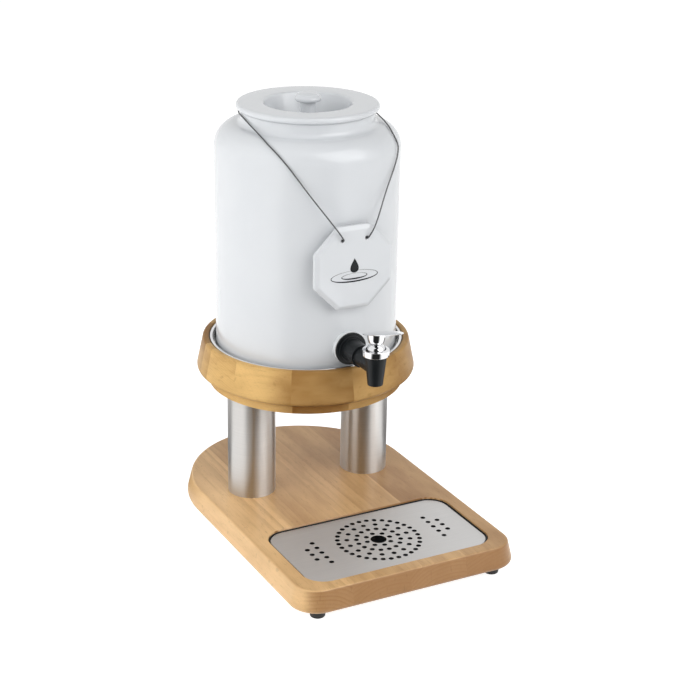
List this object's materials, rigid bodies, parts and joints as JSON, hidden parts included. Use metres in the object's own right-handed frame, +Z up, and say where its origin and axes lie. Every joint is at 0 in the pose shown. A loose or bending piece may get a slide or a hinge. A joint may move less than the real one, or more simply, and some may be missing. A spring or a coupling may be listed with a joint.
{
  "type": "milk dispenser",
  "caption": "Glazed pot with a lever tap and hung sign, seated in a cooled beech ring on steel columns over a beech board with a drip tray",
  "frame": {"origin": "on the table, under the middle of the part's box", "axes": "+X right, -Y front where the tap is, +Z up"},
  "size_m": [0.231, 0.352, 0.4245],
  "materials": {
    "beech_board": "oiled beech, grain front to back",
    "beech_ring": "oiled beech, grain round the ring",
    "rubber_foot": "matt",
    "zinc_steel": "zinc plated",
    "brushed_column": "brushed round the tube",
    "brushed_grid": "brushed from side to side",
    "polished_tub": "polished",
    "pack_blue": "satin",
    "pack_dark": "satin",
    "porcelain": "white glaze",
    "steel_cord": "stranded",
    "black_plastic": "gloss",
    "chrome_cap": "polished",
    "silicone": "matt",
    "white_plastic": "satin"
  },
  "bodies": {
    "stand": {"base_board": "beech_board", "foot_front_left": "rubber_foot", "foot_front_right": "rubber_foot", "foot_back_left": "rubber_foot", "foot_back_right": "rubber_foot", "foot_screws": "zinc_steel", "column_left": "brushed_column", "column_right": "brushed_column", "tie_rods": "zinc_steel", "tie_nuts": "zinc_steel", "tie_washers": "zinc_steel", "ring_floor": "beech_ring", "ring_collar": "beech_ring", "tub": "polished_tub", "cool_pack": "pack_blue", "pack_plug": "pack_dark"},
    "pot_body": {"pot": "porcelain", "sign_cord": "steel_cord", "cord_ferrule": "zinc_steel", "tap_body": "black_plastic", "tap_outer_gasket": "silicone", "tap_inner_gasket": "silicone", "tap_locknut": "black_plastic", "tap_bonnet": "chrome_cap", "lever_pins": "zinc_steel", "stem_guide": "white_plastic", "valve_spring": "zinc_steel"},
    "lid_body": {"lid": "porcelain"},
    "lever_body": {"tap_lever": "chrome_cap"},
    "valve_body": {"valve_stem": "white_plastic", "seat_cup": "silicone"},
    "sign_body": {"sign": "porcelain"},
    "pan_body": {"drip_pan": "black_plastic"},
    "grid_body": {"drip_grid": "brushed_grid"}
  },
  "joints": [
    {"name": "pot_lift", "type": "slide", "parent": "stand", "child": "pot_body", "axis": [0, 0, 1], "range_m": [0, 0.12]},
    {"name": "lid_lift", "type": "slide", "parent": "pot_body", "child": "lid_body", "axis": [0, 0, 1], "range_m": [0, 0.1]},
    {"name": "lever_tilt", "type": "hinge", "parent": "pot_body", "child": "lever_body", "pos_m": [0, -0.09, 0.2155], "axis": [1, 0, 0], "range_deg": [0, 28], "stiffness_Nm_per_rad": 0.05, "springref_deg": -28.65},
    {"name": "stem_lift", "type": "slide", "parent": "pot_body", "child": "valve_body", "axis": [0, 0, 1], "range_m": [0, 0.003], "deforming": ["valve_spring"]},
    {"name": "sign_swing", "type": "hinge", "parent": "pot_body", "child": "sign_body", "pos_m": [0, -0.0429, 0.309], "axis": [-1, 0, 0], "range_deg": [0, 14]},
    {"name": "pan_lift", "type": "slide", "parent": "stand", "child": "pan_body", "axis": [0, 0, 1], "range_m": [0, 0.05]},
    {"name": "grid_lift", "type": "slide", "parent": "pan_body", "child": "grid_body", "axis": [0, 0, 1], "range_m": [0, 0.05]}
  ],
  "couplings": [
    {"joint": "stem_lift", "follows": "lever_tilt", "m_per_rad": 0.006}
  ]
}
